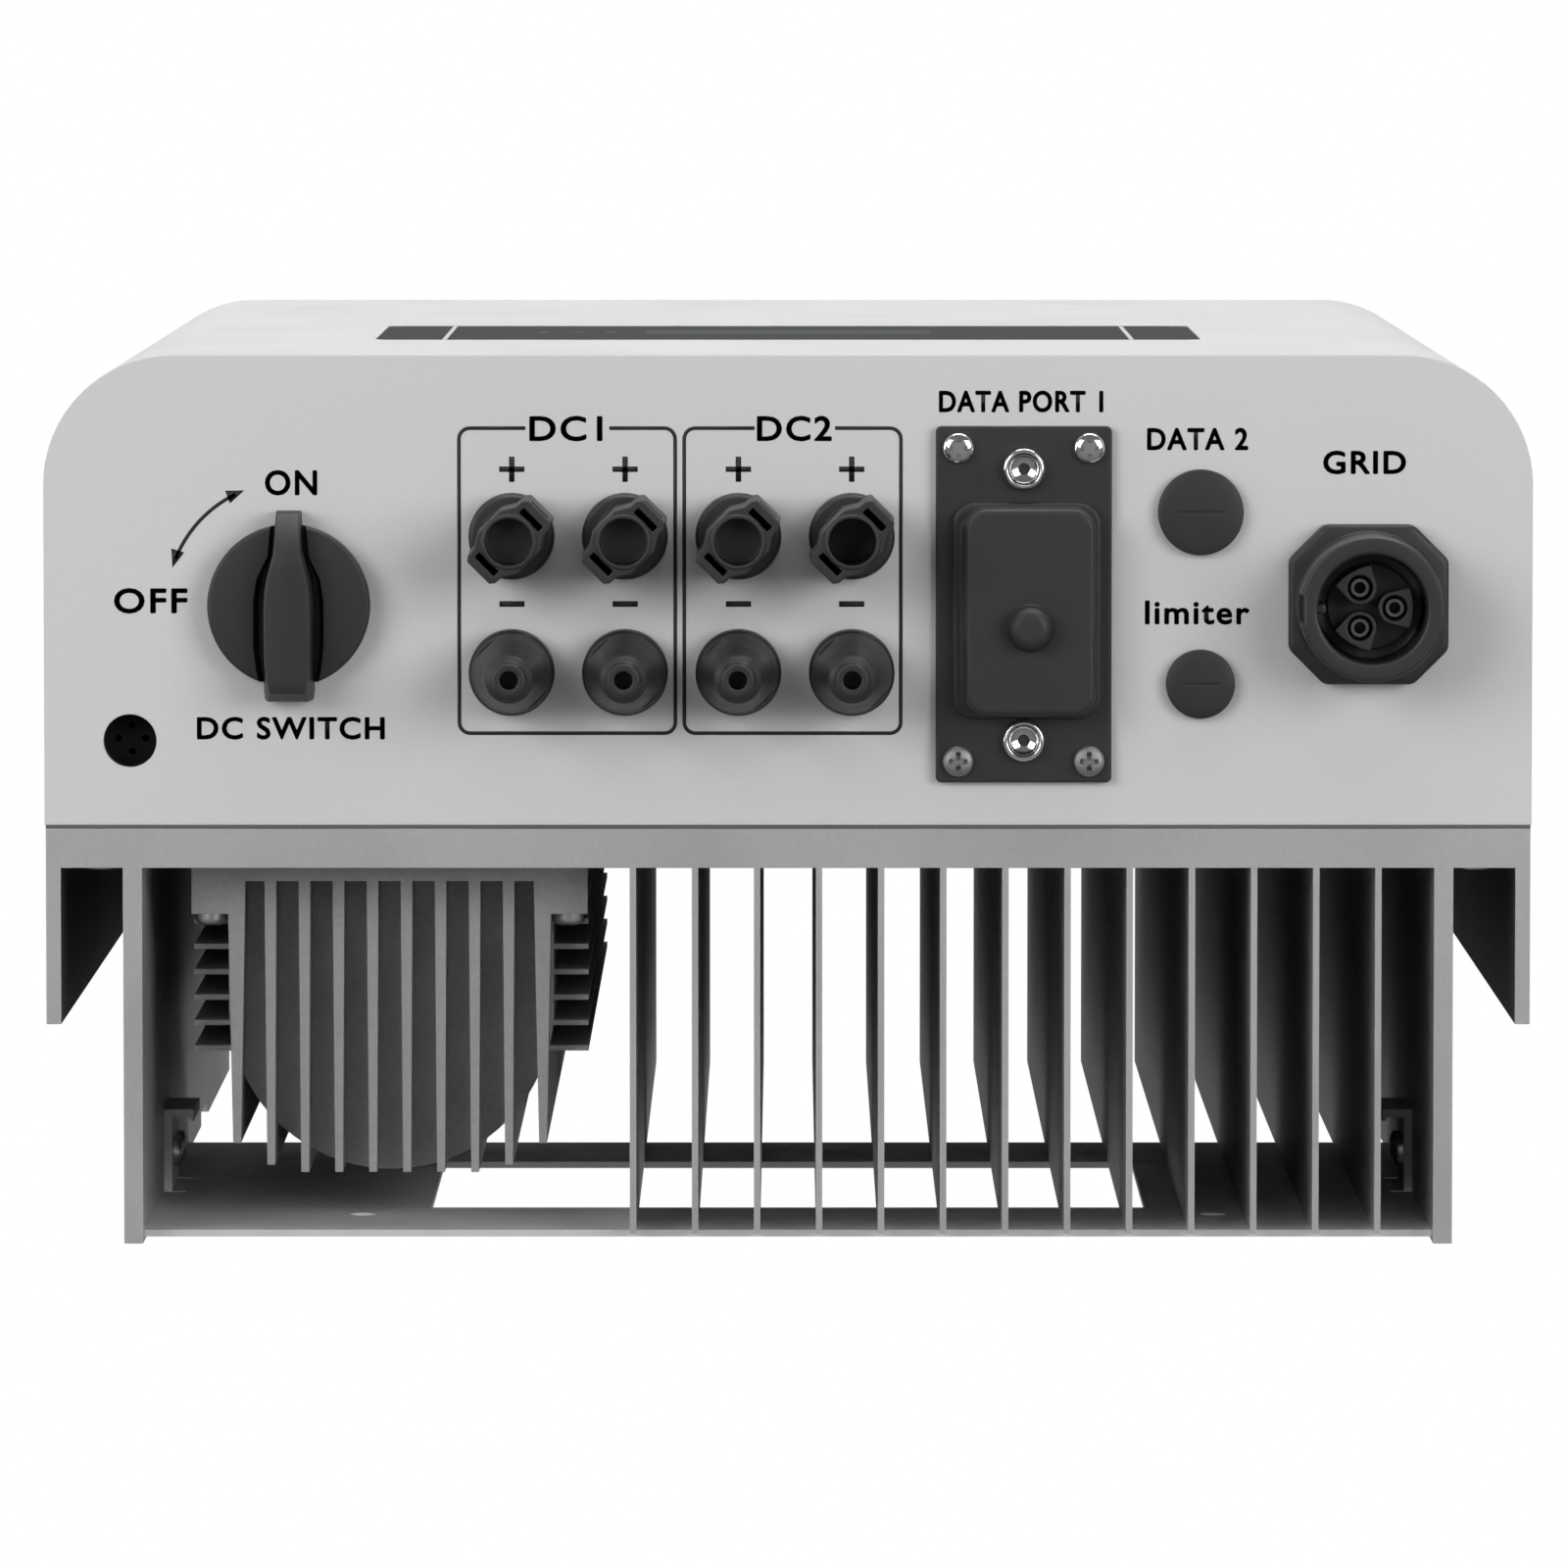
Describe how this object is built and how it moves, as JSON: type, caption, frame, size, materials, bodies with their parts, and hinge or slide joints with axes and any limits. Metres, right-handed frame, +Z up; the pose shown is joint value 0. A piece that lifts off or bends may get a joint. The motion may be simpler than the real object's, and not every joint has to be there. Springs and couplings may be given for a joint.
{
  "type": "string inverter",
  "caption": "Wall-hung string inverter: light grey cover, finned aluminium heat sink, rotary DC switch, string plugs, capped communication port and round AC socket on its lower end.",
  "frame": {"origin": "on the wall plane, on the centre line, at the height of the two hook notches in the side fins", "axes": "+X to the right as seen from the front, +Y towards the wall, +Z up; connectors face -Z and the cover faces -Y"},
  "size_m": [0.33, 0.1976, 0.443],
  "materials": {
    "coat": "fine light grey powder coat",
    "extrusion": "satin anodised extrusion",
    "casting": "bead-blasted casting",
    "sheet": "zinc-plated sheet",
    "steel": "stainless",
    "bright_steel": "polished",
    "black_plastic": "fine textured",
    "rubber": "matt",
    "black_glass": "glossy",
    "lcd": "clear over grey-green",
    "led": "clear green",
    "board": "solder mask",
    "contact": "gold flash",
    "copper": "enamelled copper",
    "ferrite": "sintered",
    "capacitor": "printed sleeve",
    "pad": "soft",
    "relay": "moulded",
    "film": "moulded",
    "lead_red": "insulation",
    "lead_brown": "insulation",
    "ribbon": "flat cable"
  },
  "bodies": {
    "case": {"heat_sink": "extrusion", "front_cover": "coat", "bottom_panel": "coat", "top_panel": "coat", "cover_gasket": "rubber", "cover_screws": "steel", "inductor_housing": "casting", "inductor_screws": "steel", "inductor_cores": "ferrite", "inductor_windings": "copper", "rear_plate": "sheet", "rear_plate_screws": "steel", "display_window": "black_glass", "lcd_module": "lcd", "display_board": "board", "display_spacers": "steel", "status_leds": "led", "dc_switch_body": "black_plastic", "dc_switch_seal": "rubber", "pv_plus_1": "black_plastic", "pv_plus_2": "black_plastic", "pv_plus_3": "black_plastic", "pv_plus_4": "black_plastic", "pv_minus_1": "black_plastic", "pv_minus_2": "black_plastic", "pv_minus_3": "black_plastic", "pv_minus_4": "black_plastic", "pv_nuts": "black_plastic", "pv_seals": "rubber", "pv_contacts": "contact", "dc_leads": "lead_red", "com_plate": "black_plastic", "com_plate_screws": "steel", "com_jack_screws": "bright_steel", "com_gasket": "rubber", "com_socket": "steel", "blanking_cap_large": "black_plastic", "blanking_cap_small": "black_plastic", "blanking_cap_nuts": "black_plastic", "ac_socket": "black_plastic", "ac_insert": "black_plastic", "ac_contacts": "contact", "ac_nut": "black_plastic", "ac_leads": "lead_brown", "breather": "rubber", "power_board": "board", "control_board": "board", "dc_link_capacitors": "capacitor", "power_modules": "ferrite", "thermal_pads": "pad", "relays": "relay", "emi_chokes": "copper", "film_capacitors": "film", "board_standoffs": "contact", "board_screws": "steel", "ribbon_cable": "ribbon"},
    "dc_switch": {"dc_switch_knob": "black_plastic", "dc_switch_shaft": "steel", "dc_switch_rotor": "film"},
    "com_cap_body": {"com_cap": "rubber"}
  },
  "joints": [
    {"name": "dc_switch_turn", "type": "hinge", "parent": "case", "child": "dc_switch", "pos_m": [-0.1105, -0.1424, -0.281], "axis": [0, 0, -1], "range_deg": [0, 90]},
    {"name": "com_cap_pull", "type": "slide", "parent": "case", "child": "com_cap_body", "axis": [0, 0, -1], "range_m": [0, 0.03]}
  ]
}
